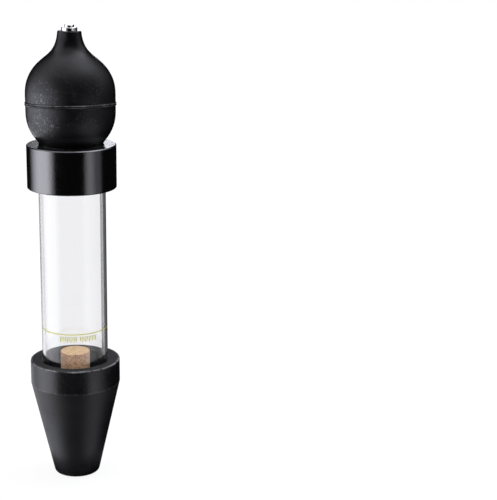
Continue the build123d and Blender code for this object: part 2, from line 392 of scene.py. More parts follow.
def uneven_tone():
    """Cloudy patches of two sizes, from 0 to 1."""
    group, given, out = effect("uneven_tone", {"Scale": 60.0, "Fine Share": 0.35}, ["Tone"])
    broad = eased(group, noise(group, given["Place"], given["Scale"]), 0.33, 0.67)
    fine_scale = maths(group, "MULTIPLY", given["Scale"], 9.0)
    fine = eased(group, noise(group, given["Place"], fine_scale, 5.0, 0.6), 0.35, 0.65)
    rest = maths(group, "SUBTRACT", 1.0, given["Fine Share"])
    fine_part = maths(group, "MULTIPLY", fine, given["Fine Share"])
    feed(group, out["Tone"], maths(group, "MULTIPLY_ADD", broad, rest, fine_part))
    return group


def moulded_grain():
    """Fine pebbled height of a moulded skin."""
    group, given, out = effect("moulded_grain", {"Scale": 1500.0}, ["Height"])
    cells = put(group, "ShaderNodeTexVoronoi", {"Vector": given["Place"], "Scale": given["Scale"]})
    soft = noise(group, given["Place"], maths(group, "MULTIPLY", given["Scale"], 0.6), 3.0)
    feed(group, out["Height"], maths(group, "MULTIPLY_ADD", cells.outputs["Distance"], 0.5, soft))
    return group


def dust_specks():
    """Sparse small specks, each with its own size, as a mask."""
    takes = {"Scale": 500.0, "Share": 0.2, "Size": 0.18}
    group, given, out = effect("dust_specks", takes, ["Mask"])
    cells = put(group, "ShaderNodeTexVoronoi", {"Vector": given["Place"], "Scale": given["Scale"]})
    lot = put(group, "ShaderNodeSeparateColor", {"Color": cells.outputs["Color"]}).outputs
    chosen = maths(group, "LESS_THAN", lot["Red"], given["Share"])
    size = maths(group, "MULTIPLY", given["Size"], maths(group, "ADD", lot["Green"], 0.4))
    half_size = maths(group, "MULTIPLY", size, 0.5)
    spot = eased(group, cells.outputs["Distance"], half_size, size, 1.0, 0.0)
    feed(group, out["Mask"], maths(group, "MULTIPLY", spot, chosen))
    return group


def rim_wear_and_painted_highlight():
    """Band round the edge at one radius and height, broken up by noise: rubbed wear, and also a
    painted highlight line.
    """
    takes = {"Radius": 0.02, "Height": 0.05, "Width": 0.001}
    group, given, out = effect("rim_wear_and_painted_highlight", takes, ["Mask"])
    radius, height = from_axis(group, given["Place"])
    aside = maths(group, "SUBTRACT", radius, given["Radius"])
    above = maths(group, "SUBTRACT", height, given["Height"])
    squares = maths(group, "MULTIPLY_ADD", above, above, maths(group, "MULTIPLY", aside, aside))
    near = eased(group, maths(group, "SQRT", squares), 0.0, given["Width"], 1.0, 0.0)
    rubbed = eased(group, noise(group, given["Place"], 350.0, 5.0, 0.65), 0.38, 0.66)
    feed(group, out["Mask"], maths(group, "MULTIPLY", near, rubbed))
    return group


def turning_lines():
    """Fine lines round the axis, as height: noise that depends on radius and height alone."""
    group, given, out = effect("turning_lines", {"Scale": 9000.0}, ["Height"])
    radius, height = from_axis(group, given["Place"])
    flat = put(group, "ShaderNodeCombineXYZ", {"X": radius, "Y": height}).outputs["Vector"]
    feed(group, out["Height"], noise(group, flat, given["Scale"], 2.0))
    return group


def scuffs():
    """Thin faint scratches: the crests of noise stretched along and across the axis, as a mask."""
    group, given, out = effect("scuffs", {"Scale": 160.0, "Share": 0.02}, ["Mask"])
    total = 0.0
    for turn, squash in ((0.5, (1.0, 1.0, 0.07)), (-0.9, (0.12, 1.0, 1.0))):
        sockets = {"Vector": given["Place"], "Rotation": (turn, turn / 2, turn), "Scale": squash}
        stretched = put(group, "ShaderNodeMapping", sockets).outputs["Vector"]
        value = noise(group, stretched, given["Scale"], 2.0)
        off_crest = maths(group, "ABSOLUTE", maths(group, "SUBTRACT", value, 0.5))
        line = eased(group, off_crest, 0.0, given["Share"], 1.0, 0.0)
        patch = eased(group, noise(group, given["Place"], 45.0, 2.0), 0.52, 0.66)
        total = maths(group, "MULTIPLY_ADD", line, patch, total)
    feed(group, out["Mask"], maths(group, "MINIMUM", total, 1.0))
    return group


EFFECT_MAKERS = (uneven_tone, moulded_grain, dust_specks, rim_wear_and_painted_highlight, turning_lines, scuffs)
EFFECTS = {made.name: made for made in (make() for make in EFFECT_MAKERS)}


def new_finish(name):
    """Material with an empty Principled shader, its tree and its Object coordinates."""
    finish = bpy.data.materials.new(name)
    finish.use_nodes = True
    tree = finish.node_tree
    tree.nodes.clear()
    shader = tree.nodes.new("ShaderNodeBsdfPrincipled")
    end = tree.nodes.new("ShaderNodeOutputMaterial")
    tree.links.new(shader.outputs["BSDF"], end.inputs["Surface"])
    return finish, tree, shader, tree.nodes.new("ShaderNodeTexCoord").outputs["Object"]


def use(tree, effect_name, place, **values):
    """Places a shared effect in a material with its own values and returns its output."""
    made = put(tree, "ShaderNodeGroup", node_tree=EFFECTS[effect_name])
    feed(tree, made.inputs["Place"], place)
    for key, value in values.items():
        feed(tree, made.inputs[key.replace("_", " ").title()], value)
    return made.outputs[0]


def bumped(tree, shader, *reliefs):
    """Feeds the shader's normal from bump nodes in a row, one for each (height, depth in mm)."""
    normal = None
    for height, depth in reliefs:
        made = put(tree, "ShaderNodeBump", {"Height": height, "Distance": depth * MM})
        if normal is not None:
            tree.links.new(normal, made.inputs["Normal"])
        normal = made.outputs["Normal"]
    tree.links.new(normal, shader.inputs["Normal"])


def grey(value, blue=1.0):
    """Neutral colour, or a slightly blue one."""
    return (value, value, value * blue, 1.0)


def cone_rubber():
    """Satin moulded rubber with scuffs and dust, its edges lightened partly as rubbed wear and
    partly as painted highlight lines, with a painted highlight line just inside the rim.

    It is glossier on the band above the taper, and dull on the top face.
    """
    finish, tree, shader, place = new_finish("cone_rubber")
    tone = use(tree, "uneven_tone", place, scale=45.0)
    scuffed = use(tree, "scuffs", place, scale=170.0)
    dust = use(tree, "dust_specks", place, scale=420.0, share=0.10, size=0.14)
    # Edges lightened grey: rubbed wear, and along the rim and shoulder also painted highlight lines
    worn = 0.0
    edges = (CONE_RIM_R, CONE_HEIGHT), (CONE_RIM_R, CONE_SHOULDER_Z), (CONE_TIP_R, CONE_TIP_WORN_Z)
    for radius, height in edges:
        edge = use(tree, "rim_wear_and_painted_highlight", place, radius=radius * MM, height=height * MM, width=0.0009)
        worn = maths(tree, "MAXIMUM", edge, worn)
    colour = mixed(tree, tone, grey(0.004, 1.05), grey(0.008, 1.05))
    colour = mixed(tree, maths(tree, "MULTIPLY", worn, 0.7), colour, grey(0.09))
    # Painted highlight: a light grey line just inside the rim's top edge
    highlight_r = CONE_RIM_R - CONE_RIM_HIGHLIGHT_INSET
    rim = use(
        tree, "rim_wear_and_painted_highlight", place, radius=highlight_r * MM, height=CONE_HEIGHT * MM, width=0.0010
    )
    colour = mixed(tree, rim, colour, grey(0.42))
    colour = mixed(tree, maths(tree, "MULTIPLY", scuffed, 0.25), colour, grey(0.04))
    colour = mixed(tree, maths(tree, "MULTIPLY", dust, 0.5), colour, grey(0.12))
    feed(tree, shader.inputs["Base Color"], colour)
    _, above = from_axis(tree, place)
    shoulder = CONE_SHOULDER_Z * MM
    rough = eased(tree, above, shoulder - 0.0012, shoulder + 0.0004, 0.40, 0.24)
    face = CONE_HEIGHT * MM
    on_face = eased(tree, above, face - 0.0004, face - 0.0001)
    duller = maths(tree, "SUBTRACT", 0.62, rough)
    rough = maths(tree, "MULTIPLY_ADD", on_face, duller, rough)
    rough = maths(tree, "MULTIPLY_ADD", tone, 0.08, rough)
    rough = maths(tree, "MULTIPLY_ADD", scuffed, 0.12, rough)
    feed(tree, shader.inputs["Roughness"], maths(tree, "MULTIPLY_ADD", worn, -0.12, rough))
    shader.inputs["Specular IOR Level"].default_value = 0.45
    grain = use(tree, "moulded_grain", place, scale=1400.0)
    bumped(tree, shader, (grain, 0.012), (tone, 0.05))
    return finish


def patches(tree, place, spots):
    """Mask that falls off round each spot on the bulb's skin, the strongest one where they meet."""
    mask = 0.0
    for angle, above, spread, strength in spots:
        turn = radians(angle) - pi / 2
        height = COLLAR_TOP_Z + BULB_BELLY_Z + above
        spot = (BULB_SKIN_R * cos(turn) * MM, BULB_SKIN_R * sin(turn) * MM, height * MM)
        away = put(tree, "ShaderNodeVectorMath", operation="DISTANCE")
        feed(tree, away.inputs[0], place)
        feed(tree, away.inputs[1], spot)
        near = eased(tree, away.outputs["Value"], 0.2 * spread * MM, spread * MM, strength, 0.0)
        mask = maths(tree, "MAXIMUM", near, mask)
    return mask


def bulb_rubber():
    """Matte moulded rubber: crazed patches near the bead whose light specks are partly dust and
    partly painted glints, a pale bloom that is partly painted sheen, and crests painted light on
    its ridges as rubbed wear and painted highlight.

    It shines more sharply where it is seen edge on, as smooth rubber does.
    """
    finish, tree, shader, place = new_finish("bulb_rubber")
    tone = use(tree, "uneven_tone", place, scale=55.0, fine_share=0.45)
    _, height = from_axis(tree, place)
    depth = put(tree, "ShaderNodeSeparateXYZ", {"Vector": place}).outputs["Y"]
    level = maths(tree, "MULTIPLY_ADD", depth, BEAD_TILT, height)
    off_bead = maths(tree, "SUBTRACT", level, (COLLAR_TOP_Z + BULB_BELLY_Z) * MM)
    aside = maths(tree, "ABSOLUTE", off_bead)
    broken = eased(tree, noise(tree, place, 150.0, 4.0, 0.6), 0.36, 0.60)
    # Bloom and crazing stay off a band round the bead, which leaves dark lines beside the ridges as
    # painted shade
    off_edge = eased(tree, aside, 0.0009, 0.0015)
    bloom_and_sheen = maths(tree, "MULTIPLY", patches(tree, place, BLOOM_AND_SHEEN_PATCHES), off_edge)
    crazed = maths(tree, "MULTIPLY", patches(tree, place, CRAZED_PATCHES), off_edge)
    crazed = maths(tree, "MULTIPLY", crazed, broken)
    glint = noise(tree, place, 1000.0, 3.0, 0.6)
    # Light grey specks in the crazed patches: partly dust, partly painted glints
    dust_and_glint_specks = maths(tree, "MULTIPLY", eased(tree, glint, 0.52, 0.64), crazed)
    # Light crests on the ridges: rubbed wear, and a painted highlight that is stronger on the upper
    # ridge
    off_ridge = maths(tree, "ABSOLUTE", maths(tree, "SUBTRACT", aside, BEAD_RIDGE_APART / 2 * MM))
    crest_wear_and_highlight = eased(tree, off_ridge, 0.00008, 0.0004, 1.0, 0.0)
    rubbed = eased(tree, noise(tree, place, 90.0, 5.0, 0.7), 0.42, 0.60, 0.1, 1.0)
    upper = eased(tree, off_bead, -0.0001, 0.0001, 0.4, 1.0)
    crest_wear_and_highlight = maths(tree, "MULTIPLY", maths(tree, "MULTIPLY", crest_wear_and_highlight, upper), rubbed)
    dust = use(tree, "dust_specks", place, scale=480.0, share=0.05, size=0.15)
    scuffed = use(tree, "scuffs", place, scale=200.0, share=0.03)
    colour = mixed(tree, tone, grey(0.003, 1.08), grey(0.006, 1.08))
    # Paler grey of the bloom, which at the front left is also painted sheen
    chalky_sheen = maths(tree, "MULTIPLY", bloom_and_sheen, maths(tree, "MULTIPLY_ADD", tone, 0.4, 0.6))
    colour = mixed(tree, chalky_sheen, colour, grey(0.085, 1.06))
    colour = mixed(tree, dust_and_glint_specks, colour, grey(0.26, 1.05))
    colour = mixed(tree, crest_wear_and_highlight, colour, grey(0.22, 1.03))
    colour = mixed(tree, maths(tree, "MULTIPLY", scuffed, 0.25), colour, grey(0.06))
    colour = mixed(tree, maths(tree, "MULTIPLY", dust, 0.5), colour, grey(0.14))
    feed(tree, shader.inputs["Base Color"], colour)
    neck_z = (BULB_TOP_Z - BULB_GLOSSY_LENGTH) * MM
    foot_z = COLLAR_TOP_Z * MM
    rough = eased(tree, height, neck_z - 0.006, neck_z, 0.40, 0.28)
    off_foot = eased(tree, height, foot_z + 0.002, foot_z + 0.014, 0.5, 1.0)
    rough = maths(tree, "MULTIPLY", rough, off_foot)
    rough = maths(tree, "MULTIPLY_ADD", tone, 0.08, rough)
    facing = put(tree, "ShaderNodeLayerWeight", {"Blend": 0.5}).outputs["Facing"]
    edge_on = eased(tree, facing, 0.60, 0.90, 1.0, 0.45)
    feed(tree, shader.inputs["Roughness"], maths(tree, "MULTIPLY", rough, edge_on))
    shader.inputs["Specular IOR Level"].default_value = 0.32
    grain = use(tree, "moulded_grain", place, scale=1100.0)
    relief = maths(tree, "MULTIPLY", glint, maths(tree, "ADD", crazed, 0.10))
    bumped(tree, shader, (grain, 0.02), (relief, 0.22))
    return finish


def gloss_collar():
    """Polished black plastic: faint turning lines, cloudy gloss and fine dust, with a sawn top."""
    finish, tree, shader, place = new_finish("gloss_collar")
    tone = use(tree, "uneven_tone", place, scale=70.0, fine_share=0.5)
    dust = use(tree, "dust_specks", place, scale=330.0, share=0.06, size=0.12)
    scuffed = use(tree, "scuffs", place, scale=210.0, share=0.012)
    worn = use(
        tree, "rim_wear_and_painted_highlight", place,
        radius=COLLAR_R * MM, height=(COLLAR_TOP_Z - COLLAR_CHAMFER) * MM, width=0.0009,
    )
    _, height = from_axis(tree, place)
    on_top = eased(tree, height, (COLLAR_TOP_Z - 0.06) * MM, (COLLAR_TOP_Z - 0.02) * MM)
    speckle = noise(tree, place, 900.0, 6.0, 0.8)
    sawn = maths(tree, "MULTIPLY", speckle, on_top)
    fleck = maths(tree, "MULTIPLY", eased(tree, speckle, 0.46, 0.60), on_top)
    colour = mixed(tree, maths(tree, "MULTIPLY", worn, 0.5), grey(0.0025, 1.1), grey(0.05))
    colour = mixed(tree, maths(tree, "MULTIPLY", dust, 0.6), colour, grey(0.25))
    colour = mixed(tree, maths(tree, "MULTIPLY", fleck, 0.5), colour, grey(0.10))
    feed(tree, shader.inputs["Base Color"], colour)
    rough = maths(tree, "MULTIPLY_ADD", tone, 0.05, 0.09)
    rough = maths(tree, "MULTIPLY_ADD", scuffed, 0.10, rough)
    rough = maths(tree, "MULTIPLY_ADD", sawn, 0.22, rough)
    feed(tree, shader.inputs["Roughness"], maths(tree, "MULTIPLY_ADD", dust, 0.4, rough))
    shader.inputs["IOR"].default_value = 1.9
    shader.inputs["Specular IOR Level"].default_value = 0.7
    lines = use(tree, "turning_lines", place, scale=5200.0)
    bumped(tree, shader, (lines, 0.0006), (tone, 0.02), (sawn, 0.035))
    return finish


def clear_tube():
    """Clear plastic whose colour turns grey towards its edges as painted shade for dark edge lines,
    with faint handling marks.
    """
    finish, tree, shader, place = new_finish("clear_tube")
    facing = put(tree, "ShaderNodeLayerWeight", {"Blend": 0.5}).outputs["Facing"]
    # Painted shade: the colour turns grey where the wall is seen edge on
    edge = eased(tree, facing, 0.62, 0.83)
    colour = mixed(tree, edge, (0.93, 0.93, 0.935, 1), (0.47, 0.465, 0.49, 1))
    feed(tree, shader.inputs["Base Color"], colour)
    tone = use(tree, "uneven_tone", place, scale=35.0, fine_share=0.3)
    scuffed = use(tree, "scuffs", place, scale=120.0, share=0.006)
    rough = maths(tree, "MULTIPLY", tone, 0.012)
    feed(tree, shader.inputs["Roughness"], maths(tree, "MULTIPLY_ADD", scuffed, 0.06, rough))
    shader.inputs["Transmission Weight"].default_value = 1.0
    shader.inputs["IOR"].default_value = 1.49
    return finish


def level_ink():
    """Yellow screen ink that light shows through, with a slightly starved, uneven lay."""
    finish, tree, shader, place = new_finish("level_ink")
    thin = eased(tree, noise(tree, place, 2600.0, 4.0, 0.6), 0.40, 0.62)
    colour = mixed(tree, thin, (0.66, 0.64, 0.14, 1), (0.86, 0.84, 0.34, 1))
    feed(tree, shader.inputs["Base Color"], colour)
    shader.inputs["Transmission Weight"].default_value = 0.75
    shader.inputs["IOR"].default_value = 1.05
    feed(tree, shader.inputs["Roughness"], maths(tree, "MULTIPLY_ADD", thin, 0.2, 0.35))
    bumped(tree, shader, (thin, 0.004))
    return finish


def porous_plug():
    """Pressed granules: each its own tan, with dark gaps, pits and a rough face; the top face is
    painted lighter and yellower than the wall, as painted light from above.
    """
    finish, tree, shader, place = new_finish("porous_plug")
    warp = put(tree, "ShaderNodeTexNoise", {"Vector": place, "Scale": 900.0, "Detail": 3.0})
    shift = put(tree, "ShaderNodeVectorMath", operation="MULTIPLY_ADD")
    feed(tree, shift.inputs[0], warp.outputs["Color"])
    feed(tree, shift.inputs[1], (0.0004, 0.0004, 0.0004))
    feed(tree, shift.inputs[2], place)
    granules = {"Vector": shift.outputs["Vector"], "Scale": 1700.0}
    cells = put(tree, "ShaderNodeTexVoronoi", granules)
    edges = put(tree, "ShaderNodeTexVoronoi", granules, feature="DISTANCE_TO_EDGE")
    lot = put(tree, "ShaderNodeSeparateColor", {"Color": cells.outputs["Color"]}).outputs
    gap = eased(tree, edges.outputs["Distance"], 0.02, 0.12, 1.0, 0.0)
    _, above = from_axis(tree, place)
    on_face = eased(tree, above, (PLUG_TOP_Z - 0.7) * MM, (PLUG_TOP_Z - 0.1) * MM)
    # Painted light: the top face gets fewer dark grains and lighter, yellower tans than the wall
    fewer_on_painted_lit_face = maths(tree, "MULTIPLY_ADD", on_face, -0.5, 1.0)
    dark_grain = maths(tree, "MULTIPLY", eased(tree, lot["Green"], 0.78, 0.90), fewer_on_painted_lit_face)
    fibre = noise(tree, place, 5200.0, 4.0, 0.7)
    side = mixed(tree, lot["Red"], (0.62, 0.31, 0.165, 1), (0.92, 0.58, 0.38, 1))
    face = mixed(tree, lot["Red"], (0.84, 0.59, 0.18, 1), (1.0, 0.80, 0.29, 1))
    colour = mixed(tree, on_face, side, face)
    colour = mixed(tree, maths(tree, "MULTIPLY", dark_grain, 0.75), colour, (0.20, 0.095, 0.04, 1))
    colour = mixed(tree, maths(tree, "MULTIPLY", gap, 0.5), colour, (0.17, 0.085, 0.035, 1))
    colour = mixed(tree, maths(tree, "MULTIPLY", fibre, 0.25), colour, (0.80, 0.60, 0.36, 1))
    feed(tree, shader.inputs["Base Color"], colour)
    feed(tree, shader.inputs["Roughness"], maths(tree, "MULTIPLY_ADD", fibre, 0.2, 0.72))
    shader.inputs["Sheen Weight"].default_value = 0.6
    shader.inputs["Sheen Roughness"].default_value = 0.35
    shader.inputs["Sheen Tint"].default_value = (1.0, 0.90, 0.80, 1.0)
    raised = maths(tree, "SUBTRACT", 1.0, gap)
    bumped(tree, shader, (raised, 0.08), (fibre, 0.05))
    return finish


def plated_valve():
    """Bright plate over turned brass: thin turning lines, cloudy gloss and handling marks."""
    finish, tree, shader, place = new_finish("plated_valve")
    tone = use(tree, "uneven_tone", place, scale=260.0)
    lines = use(tree, "turning_lines", place, scale=12000.0)
    scuffed = use(tree, "scuffs", place, scale=700.0, share=0.02)
    colour = mixed(tree, tone, (0.72, 0.71, 0.69, 1), (0.83, 0.83, 0.84, 1))
    feed(tree, shader.inputs["Base Color"], colour)
    rough = maths(tree, "MULTIPLY_ADD", tone, 0.07, 0.06)
    feed(tree, shader.inputs["Roughness"], maths(tree, "MULTIPLY_ADD", scuffed, 0.15, rough))
    shader.inputs["Metallic"].default_value = 1.0
    bumped(tree, shader, (lines, 0.0015))
    return finish


def polished_steel():
    """Ground and polished steel of the balls and the spring."""
    finish, tree, shader, place = new_finish("polished_steel")
    tone = use(tree, "uneven_tone", place, scale=300.0)
    scuffed = use(tree, "scuffs", place, scale=900.0, share=0.03)
    colour = mixed(tree, tone, (0.50, 0.50, 0.51, 1), (0.60, 0.60, 0.61, 1))
    feed(tree, shader.inputs["Base Color"], colour)
    rough = maths(tree, "MULTIPLY_ADD", tone, 0.08, 0.10)
    feed(tree, shader.inputs["Roughness"], maths(tree, "MULTIPLY_ADD", scuffed, 0.2, rough))
    shader.inputs["Metallic"].default_value = 1.0
    bumped(tree, shader, (scuffed, 0.002))
    return finish


def valve_plastic():
    """Natural moulded plastic of the seat and cage."""
    finish, tree, shader, place = new_finish("valve_plastic")
    tone = use(tree, "uneven_tone", place, scale=140.0)
    grain = use(tree, "moulded_grain", place, scale=2600.0)
    colour = mixed(tree, tone, (0.60, 0.58, 0.52, 1), (0.70, 0.69, 0.64, 1))
    feed(tree, shader.inputs["Base Color"], colour)
    feed(tree, shader.inputs["Roughness"], maths(tree, "MULTIPLY_ADD", tone, 0.12, 0.42))
    shader.inputs["Subsurface Weight"].default_value = 0.15
    shader.inputs["Subsurface Scale"].default_value = 0.002
    bumped(tree, shader, (grain, 0.01))
    return finish


def seal_rubber():
    """Smooth black seal rubber with a trace of grease."""
    finish, tree, shader, place = new_finish("seal_rubber")
    tone = use(tree, "uneven_tone", place, scale=220.0)
    grain = use(tree, "moulded_grain", place, scale=3200.0)
    feed(tree, shader.inputs["Base Color"], mixed(tree, tone, grey(0.008), grey(0.014)))
    feed(tree, shader.inputs["Roughness"], maths(tree, "MULTIPLY_ADD", tone, 0.22, 0.22))
    bumped(tree, shader, (grain, 0.005))
    return finish


# Pieces

def cone_piece(finish):
    """Cone with its gas inlet, valve bore and tube socket, spun from its rounded outline."""
    corners = [
        (GAS_INLET_R + GAS_INLET_CHAMFER, 0, 0.15),
        (CONE_TIP_R, 0, CONE_TIP_FILLET),
        (CONE_RIM_R, CONE_SHOULDER_Z, CONE_SHOULDER_FILLET),
        (CONE_RIM_R, CONE_HEIGHT, CONE_RIM_FILLET),
        (SOCKET_R + SOCKET_MOUTH_CHAMFER, CONE_HEIGHT, 0.2),
        (SOCKET_R, CONE_HEIGHT - SOCKET_MOUTH_CHAMFER, 0.2),
        (SOCKET_R, TUBE_BOTTOM_Z, 0),
        (VALVE_BORE_R, TUBE_BOTTOM_Z, 0.2),
        (VALVE_BORE_R, VALVE_POCKET_Z, 0),
        (GAS_INLET_R, VALVE_POCKET_Z, 0.2),
        (GAS_INLET_R, GAS_INLET_CHAMFER, 0.15),
    ]
    piece = surface("cone_skin", spun(rounded(corners, 8)))
    return dressed(piece, "tester", "cone_rubber", finish, "cone_adapter")


def tube_piece(finish):
    """Clear tube, a spun wall with its inner edges broken."""
    inner = TUBE_BORE_R + TUBE_EDGE_CHAMFER
    corners = [
        (inner, TUBE_BOTTOM_Z, 0),
        (TUBE_R, TUBE_BOTTOM_Z, 0.08),
        (TUBE_R, TUBE_TOP_Z, 0.08),
        (inner, TUBE_TOP_Z, 0.05),
        (TUBE_BORE_R, TUBE_TOP_Z - TUBE_EDGE_CHAMFER, 0.05),
        (TUBE_BORE_R, TUBE_BOTTOM_Z + TUBE_EDGE_CHAMFER, 0.05),
    ]
    piece = surface("clear_wall", spun(rounded(corners, 4), 2 * SEGMENTS))
    return dressed(piece, "tester", "clear_tube", finish, "sight_tube")


def collar_piece(finish):
    """Collar with chamfered outer edges, the two sockets and the land between them."""
    low_z = COLLAR_BOTTOM_Z + COLLAR_CHAMFER
    high_z = COLLAR_TOP_Z - COLLAR_CHAMFER
    inner_r = COLLAR_R - COLLAR_CHAMFER
    corners = [
        (SOCKET_R, COLLAR_BOTTOM_Z, 0.1),
        (inner_r, COLLAR_BOTTOM_Z, COLLAR_EDGE_FILLET),
        (COLLAR_R, low_z, COLLAR_EDGE_FILLET),
        (COLLAR_R, high_z, COLLAR_EDGE_FILLET),
        (inner_r, COLLAR_TOP_Z, COLLAR_EDGE_FILLET),
        (BULB_SOCKET_R, COLLAR_TOP_Z, 0.1),
        (BULB_SOCKET_R, NECK_SEAT_Z, 0),
        (COLLAR_LAND_R, NECK_SEAT_Z, 0.2),
        (COLLAR_LAND_R, TUBE_TOP_Z, 0.2),
        (SOCKET_R, TUBE_TOP_Z, 0),
    ]
    piece = surface("collar_ring", spun(rounded(corners)))
    return dressed(piece, "tester", "gloss_collar", finish, "top_collar")


def bulb_outline():
    """Closed outline of the hollow bulb, and the share of the skin's relief at each point."""
    top_z = BULB_TOP_Z - COLLAR_TOP_Z
    neck_bottom = NECK_SEAT_Z - COLLAR_TOP_Z
    belly = (BULB_SKIN_R, BULB_BELLY_Z)
    hollow_belly = (BULB_SKIN_R - BULB_WALL, BULB_BELLY_Z)
    stem_end = (STEM_R, top_z - STEM_LENGTH)
    lower = smooth_run((*BULB_SKIN_LOWER, belly), BULB_FOOT_LEAN, (0, 1), 80)
    lower = lower[lower[:, 1] > BULB_LIP_HEIGHT]
    upper_points = (belly, *BULB_SKIN_UPPER, (BULB_TOP_R, top_z))
    upper = smooth_run(upper_points, (0, 1), BULB_TOP_LEAN, 170)
    upper = upper[upper[:, 1] < top_z - BULB_TOP_FILLET]
    turn = np.linspace(0, pi / 2, 8)[:, None]
    shoulder = upper[-1] - (BULB_TOP_FILLET, 0)
    lip_over = shoulder + BULB_TOP_FILLET * np.hstack([np.cos(turn), np.sin(turn)])
    hollow_points = (hollow_belly, *BULB_HOLLOW_UPPER, stem_end)
    hollow_upper = smooth_run(hollow_points, (0, 1), BULB_TOP_LEAN, 40)
    hollow_lower = smooth_run((*BULB_HOLLOW_LOWER, hollow_belly), BULB_FOOT_LEAN, (0, 1), 30)
    lip_z = BULB_LIP_HEIGHT
    lip_turn = np.linspace(-pi / 2, pi / 2, 9)[:, None]
    lip = np.array((BULB_LIP_R - lip_z / 2, lip_z / 2)) + lip_z / 2 * np.hstack(
        [np.cos(lip_turn), np.sin(lip_turn)]
    )
    neck_hole_r = BULB_NECK_R - BULB_NECK_WALL
    hidden = np.array(
        [
            (neck_hole_r, 0),
            (neck_hole_r, neck_bottom),
            (BULB_NECK_R - BULB_NECK_LEAD_IN, neck_bottom),
            (BULB_NECK_R, neck_bottom + BULB_NECK_LEAD_IN),
            (BULB_NECK_R, 0),
        ]
    )
    skin = np.vstack([lower[:-1], upper])
    inside = np.vstack([[(STEM_R, top_z)], hollow_upper[::-1], hollow_lower[::-1][1:]])
    runs = (hidden, lip, skin, lip_over[1:], inside)
    outline = np.vstack(runs) + (0, COLLAR_TOP_Z)
    share = np.concatenate([np.full(len(run), float(run is skin)) for run in runs])
    return outline, share


def bulb_piece(finish):
    """Squeeze bulb: spun outline, two fine moulding ridges round the belly, and a hand-soft skin.

    Each ridge adds its height times exp(-(distance from it / its width) squared) to the radius.
    The skin's relief is a sum of long, shallow ripples. Both ridges wander a little and vary
    slightly in height. The ridges lie a little higher at the front, on a plane tilted about the X
    axis.
    """
    outline, share = bulb_outline()
    grid = spun(outline, BULB_SEGMENTS)
    bead_z = COLLAR_TOP_Z + BULB_BELLY_Z
    uneven = ripples(grid, 14, 30.0, 9.0)
    height = grid[..., 2] + BEAD_TILT * grid[..., 1]
    ridges = 0.0
    for side in (-1, 1):
        wander = BEAD_WANDER * ripples(grid, 9, 26.0, 12.0)
        away = height - bead_z - side * BEAD_RIDGE_APART / 2 - wander
        ridges = ridges + np.exp(-(away / BEAD_RIDGE_WIDTH) ** 2) * (1 + 0.06 * uneven)
    broad = np.exp(-((height - bead_z) / BEAD_BASE_HALF_WIDTH) ** 4)
    proud = BEAD_BASE_PROUD * broad + (BEAD_PROUD - BEAD_BASE_PROUD) * np.clip(ridges, 0, 1.1)
    soft = SKIN_SOFTNESS * ripples(grid, 20, 34.0, 14.0)
    grid = pushed(grid, share[:, None] * (proud + soft))
    piece = surface("bulb_skin", grid)
    return dressed(piece, "bulb", "bulb_rubber", finish, "squeeze_bulb")


def plug_piece(finish):
    """Porous plug: a spun disc and wall whose granules are pressed inwards from the true form.

    The depth of the relief is a ripple sum of about one granule's size, cut off below, so flat
    granule faces stay and pits open between them.
    """
    plug_r = PLUG_R - PLUG_WORN_SIDE
    top_z = PLUG_TOP_Z - PLUG_WORN_TOP
    side_z = np.linspace(top_z - PLUG_CHAMFER, PLUG_BOTTOM_Z, 130)
    face_r = np.linspace(0, plug_r - PLUG_CHAMFER, 46)
    under_r = np.linspace(plug_r, 0, PLUG_UNDERSIDE_ROWS)
    top = np.stack([face_r, np.full_like(face_r, top_z)], -1)
    side = np.stack([np.full_like(side_z, plug_r), side_z], -1)
    under = np.stack([under_r, np.full_like(under_r, PLUG_BOTTOM_Z)], -1)[1:]
    grid = spun(np.vstack([top, side, under]), PLUG_SEGMENTS)
    granules = ripples(grid, 60, 1.4, 0.7) + 0.5 * ripples(grid, 60, 0.7, 0.5)
    depth = GRANULE_RELIEF * np.clip(granules - 0.2, 0, 1.6)
    depth[0] = depth[0].mean()
    depth[-PLUG_UNDERSIDE_ROWS:] = 0
    piece = surface("plug_granules", pushed(grid, -depth), ring=False)
    return dressed(piece, "tester", "porous_plug", finish, "porous_diffuser")


def spring_piece(finish):
    """Coil of round wire: a circle carried along a helix, square to its path, with its ends closed.
    """
    coil_r = SPRING_OUTER_R - SPRING_WIRE_R
    low_z = SPRING_BOTTOM_Z + SPRING_WIRE_R
    rise = SPRING_TOP_Z - SPRING_WIRE_R - low_z
    share = np.linspace(0, 1, SPRING_TURNS * SPRING_STEPS_A_TURN + 1)
    angle = 2 * pi * SPRING_TURNS * share
    outward = np.stack([np.cos(angle), np.sin(angle), 0 * angle], -1)
    centre = outward * coil_r + np.stack([0 * share, 0 * share, low_z + rise * share], -1)
    climb = np.full_like(angle, rise / (2 * pi * SPRING_TURNS * coil_r))
    along = np.stack([-np.sin(angle), np.cos(angle), climb], -1)
    along /= np.linalg.norm(along, axis=-1, keepdims=True)
    upward = np.cross(outward, along)
    turn = np.linspace(0, 2 * pi, SPRING_WIRE_SEGMENTS, endpoint=False)[:, None]
    ring = np.cos(turn) * outward[:, None] + np.sin(turn) * upward[:, None]
    grid = centre[:, None] + SPRING_WIRE_R * ring
    ends = [np.repeat(centre[[end], None], len(turn), axis=1) for end in (0, -1)]
    grid = np.concatenate([ends[0], grid, ends[1]])
    piece = surface("return_spring", grid, ring=False)
    dressed(piece, "bulb", "steel", finish, "exhaust_valve_spring")
    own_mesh(piece)


